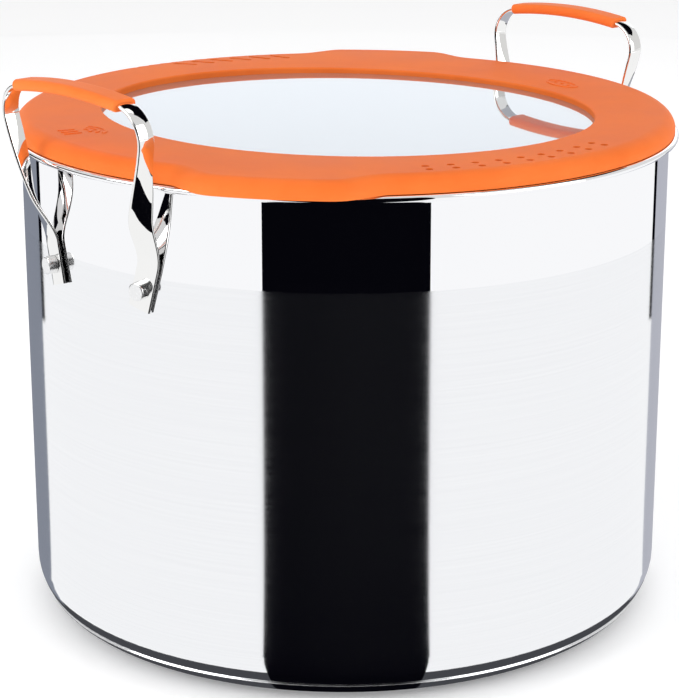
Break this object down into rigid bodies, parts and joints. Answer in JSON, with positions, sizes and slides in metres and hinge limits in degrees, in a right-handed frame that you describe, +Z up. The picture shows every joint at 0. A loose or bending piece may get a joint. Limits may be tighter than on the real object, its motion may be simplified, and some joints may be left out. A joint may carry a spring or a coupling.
{
  "type": "stockpot with strainer lid",
  "caption": "Deep steel stockpot with a capsule base, upright riveted strap handles with silicone grips, and a flat glass lid in a silicone strainer ring that lifts off.",
  "frame": {"origin": "centre of the base's underside, on the surface the pot stands on", "axes": "+Z up along the pot's axis, +X towards the right handle, so the handles lie on the X axis; +Y completes the right-handed frame"},
  "size_m": [0.3084, 0.288, 0.2486],
  "materials": {
    "pot_steel": "satin wall with a polished band below the rim",
    "cap_steel": "satin",
    "core_aluminium": "plain",
    "strap_steel": "mirror polished stainless steel",
    "rivet_steel": "satin",
    "grip_silicone": "matt orange silicone",
    "ring_silicone": "matt orange silicone",
    "lid_glass": "clear tempered glass"
  },
  "bodies": {
    "pot": {"pot_body": "pot_steel", "base_core": "core_aluminium", "base_cap": "cap_steel", "left_handle_strap": "strap_steel", "right_handle_strap": "strap_steel", "left_grip": "grip_silicone", "right_grip": "grip_silicone", "left_front_rivet": "rivet_steel", "left_back_rivet": "rivet_steel", "right_front_rivet": "rivet_steel", "right_back_rivet": "rivet_steel"},
    "lid": {"lid_glass": "lid_glass", "lid_ring": "ring_silicone"}
  },
  "joints": [
    {"name": "lid_lift", "type": "slide", "parent": "pot", "child": "lid", "axis": [0, 0, 1], "range_m": [0, 0.12]}
  ]
}
